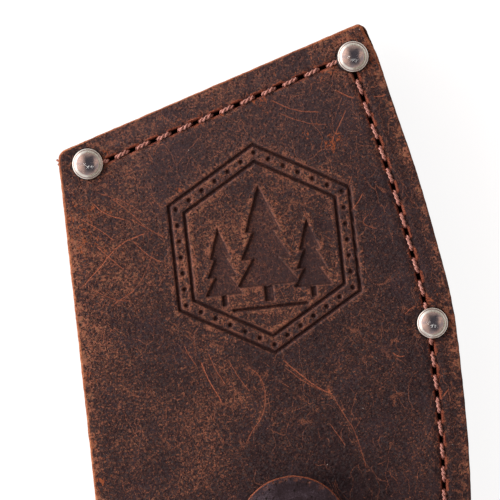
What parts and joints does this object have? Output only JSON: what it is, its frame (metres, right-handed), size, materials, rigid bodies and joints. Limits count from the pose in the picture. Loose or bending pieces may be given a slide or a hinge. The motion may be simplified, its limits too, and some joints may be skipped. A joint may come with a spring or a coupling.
{
  "type": "axe sheath",
  "caption": "Leather blade sheath for a felling axe: riveted, stitched panels over a welt, with a snap-closed strap across the open end.",
  "frame": {"origin": "middle of the footprint, on the surface that the sheath's back lies on", "axes": "+X from the open side that faces the axe's eye to the cutting-edge side, +Y from the strap end to the sewn end, +Z from the back panel to the front panel"},
  "size_m": [0.085, 0.1418, 0.0227],
  "materials": {
    "sheath_leather": "oiled pull-up leather, dark brown with worn orange-brown flecks, scratches and raw orange edges",
    "welt_leather": "the same leather seen on its cut edge, waxed dark",
    "strap_leather": "smooth waxed leather, charcoal brown with open pores and an orange cut edge",
    "thread": "waxed twisted polyester thread, pinkish brown",
    "nickel_plated_steel": "bright nickel plate with fine scratches",
    "spring_steel": "bare spring wire"
  },
  "bodies": {
    "sheath": {"front_panel": "sheath_leather", "back_panel": "sheath_leather", "edge_welt": "welt_leather", "end_welt": "welt_leather", "end_seam_front_thread": "thread", "end_seam_back_thread": "thread", "upper_edge_seam_front_thread": "thread", "upper_edge_seam_back_thread": "thread", "lower_edge_seam_front_thread": "thread", "lower_edge_seam_back_thread": "thread", "open_corner_rivet_cap": "nickel_plated_steel", "open_corner_rivet_socket": "nickel_plated_steel", "open_corner_rivet_stem": "nickel_plated_steel", "open_corner_rivet_back_cap": "nickel_plated_steel", "edge_corner_rivet_cap": "nickel_plated_steel", "edge_corner_rivet_socket": "nickel_plated_steel", "edge_corner_rivet_stem": "nickel_plated_steel", "edge_corner_rivet_back_cap": "nickel_plated_steel", "middle_rivet_cap": "nickel_plated_steel", "middle_rivet_socket": "nickel_plated_steel", "middle_rivet_stem": "nickel_plated_steel", "middle_rivet_back_cap": "nickel_plated_steel", "strap_end_rivet_cap": "nickel_plated_steel", "strap_end_rivet_socket": "nickel_plated_steel", "strap_end_rivet_stem": "nickel_plated_steel", "strap_end_rivet_back_cap": "nickel_plated_steel", "strap_near_rivet_inner_cap": "nickel_plated_steel", "strap_near_rivet_socket": "nickel_plated_steel", "strap_near_rivet_stem": "nickel_plated_steel", "strap_near_rivet_outer_cap": "nickel_plated_steel", "strap_far_rivet_inner_cap": "nickel_plated_steel", "strap_far_rivet_socket": "nickel_plated_steel", "strap_far_rivet_stem": "nickel_plated_steel", "strap_far_rivet_outer_cap": "nickel_plated_steel", "strap_root": "strap_leather", "snap_stud": "nickel_plated_steel", "snap_eyelet": "nickel_plated_steel"},
    "strap_bridge": {"strap_bridge": "strap_leather"},
    "strap_flap": {"strap_flap": "strap_leather", "snap_cap": "nickel_plated_steel", "snap_socket": "nickel_plated_steel", "snap_spring": "spring_steel"}
  },
  "joints": [
    {"name": "root_fold", "type": "hinge", "parent": "sheath", "child": "strap_bridge", "pos_m": [0.001, -0.06964, 0.00235], "axis": [1, 0, 0], "range_deg": [0, 85]},
    {"name": "flap_fold", "type": "hinge", "parent": "strap_bridge", "child": "strap_flap", "pos_m": [0.001, -0.06964, 0.01935], "axis": [1, 0, 0], "range_deg": [0, 90]}
  ]
}
